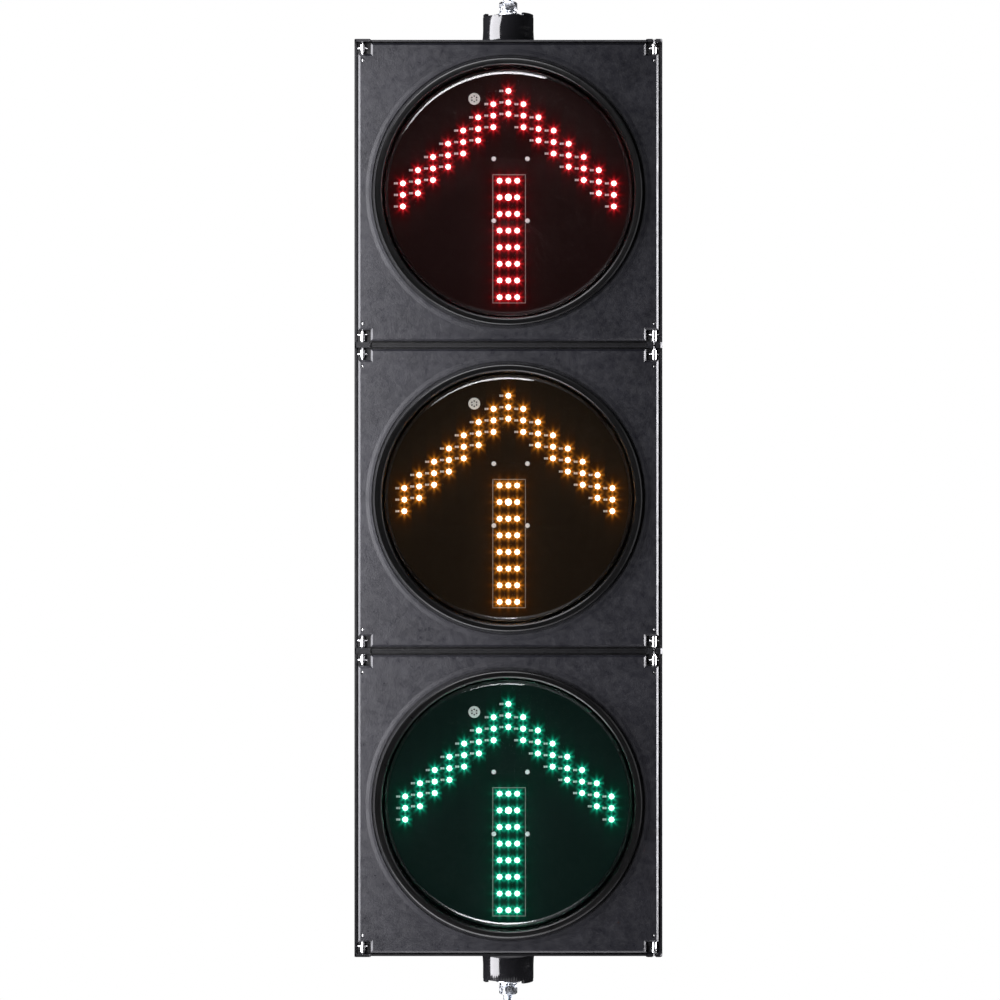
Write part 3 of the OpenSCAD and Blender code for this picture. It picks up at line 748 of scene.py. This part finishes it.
def stage_floor():
    """A pale round floor well below the head, which hangs between brackets."""
    bm = bmesh.new()
    bmesh.ops.create_circle(bm, cap_ends=True, segments=128, radius=1.7)
    mesh = bpy.data.meshes.new("floor")
    bm.to_mesh(mesh)
    bm.free()
    s = Shader("floor_paint", Roughness=0.7)
    s.feed("Base Color", s.ramp(s.noise(6.0), [(0.3, (0.80, 0.80, 0.80)), (0.7, (0.86, 0.86, 0.86))]))
    mesh.materials.append(s.mat)
    floor = bpy.data.objects.new("floor", mesh)
    floor.location = (0, 0, -1.0)
    bpy.context.scene.collection.objects.link(floor)


def softbox(name, place, target, width, height, power, spared=()):
    """A rectangular lamp; the pieces named in spared get none of its light, as if a flag stood before it."""
    light = bpy.data.lights.new(name, "AREA")
    light.shape = "RECTANGLE"
    light.size, light.size_y = width, height
    light.energy = power
    light.color = LAMP_COLOUR
    lamp = bpy.data.objects.new(name, light)
    lamp.location = place
    lamp.rotation_mode = "QUATERNION"
    lamp.rotation_quaternion = (Vector(target) - Vector(place)).to_track_quat("-Z", "Y")
    lamp.visible_camera = False
    bpy.context.scene.collection.objects.link(lamp)
    if spared:
        flags = bpy.data.collections.new(f"{name}_flags")
        for piece in spared:
            flags.objects.link(bpy.data.objects[piece])
        for entry in flags.collection_objects:
            entry.light_linking.link_state = "EXCLUDE"
        lamp.light_linking.receiver_collection = flags


def round_about(azimuth, elevation, distance, z=MIDDLE_Z):
    """A place as seen from the head: azimuth to the right of the viewer's direction, elevation above it."""
    a, e = math.radians(azimuth), math.radians(elevation)
    return (distance * math.sin(a) * math.cos(e), -distance * math.cos(a) * math.cos(e),
            z + distance * math.sin(e))


stage_floor()
MIDDLE = (0.0, 0.0, MIDDLE_Z)
LAMP_COLOUR = (0.965, 0.955, 1.0)
ROUNDS = [f"{c}_{p}" for c in COLOURS for p in ("clear_lens", "bezel")]
FRONTS = [f"{c}_door_panel" for c in COLOURS]
SHELLS = [f"{c}_shell" for c in COLOURS]
SPIGOTS = ["upper_spigot", "lower_spigot"]
softbox("front_left_softbox", (-0.68, -1.25, 0.62), (-0.1, 0, 0.58), 0.6, 1.7, 22,
        ROUNDS + SHELLS + SPIGOTS)
softbox("left_softbox", (-0.55, -0.25, 0.60), (0, 0, 0.56), 0.55, 1.8, 38, ROUNDS + SHELLS)
softbox("rim_softbox", round_about(-16, 4, 2.2), MIDDLE, 0.5, 1.6, 14, ROUNDS + FRONTS + SPIGOTS)
softbox("right_softbox", round_about(68, 0, 1.5), MIDDLE, 0.9, 1.5, 5)
softbox("right_edge_strip", round_about(91, 0, 1.0), (0.18, 0, MIDDLE_Z), 0.26, 1.3, 26, ROUNDS)
softbox("high_softbox", (-0.50, -1.35, 2.35), MIDDLE, 1.9, 1.2, 50, FRONTS + SPIGOTS)
softbox("low_softbox", (-0.55, -0.6, -0.85), (0, 0, MIDDLE_Z), 1.9, 0.4, 19, FRONTS + SHELLS + SPIGOTS)
softbox("back_softbox", round_about(150, 0, 2.4), MIDDLE, 1.6, 1.4, 45)
softbox("back_left_softbox", round_about(-130, 0, 2.0), MIDDLE, 0.8, 1.4, 14, ROUNDS + FRONTS + SPIGOTS)


def world_light():
    """White to the camera, as the empty background is, and a dim even fill to everything else."""
    world = bpy.data.worlds.new("studio")
    bpy.context.scene.world = world
    world.use_nodes = True
    nodes, links = world.node_tree.nodes, world.node_tree.links
    nodes.clear()
    out = nodes.new("ShaderNodeOutputWorld")
    seen = nodes.new("ShaderNodeBackground")
    seen.inputs["Color"].default_value = (1, 1, 1, 1)
    seen.inputs["Strength"].default_value = 1.0
    fill = nodes.new("ShaderNodeBackground")
    fill.inputs["Color"].default_value = (0.92, 0.95, 1.0, 1)
    fill.inputs["Strength"].default_value = 0.012
    path = nodes.new("ShaderNodeLightPath")
    mix = nodes.new("ShaderNodeMixShader")
    links.new(path.outputs["Is Camera Ray"], mix.inputs["Fac"])
    links.new(fill.outputs[0], mix.inputs[1])
    links.new(seen.outputs[0], mix.inputs[2])
    links.new(mix.outputs[0], out.inputs["Surface"])


def camera():
    """A level long-lens view, straight on, with the head a touch right of the middle and above it."""
    metres_across = 1.1757
    distance = 3.545
    data = bpy.data.cameras.new("camera")
    data.sensor_width = 36.0
    data.lens = data.sensor_width * distance / metres_across
    data.clip_end = 50.0
    eye = bpy.data.objects.new("camera", data)
    eye.location = (-9.9 * MM, DOOR_FRONT - distance, MIDDLE_Z - 2.4 * MM)
    eye.rotation_euler = (math.radians(90), 0, 0)
    bpy.context.scene.collection.objects.link(eye)
    bpy.context.scene.camera = eye


world_light()
camera()
bpy.context.scene.view_settings.view_transform = "Standard"
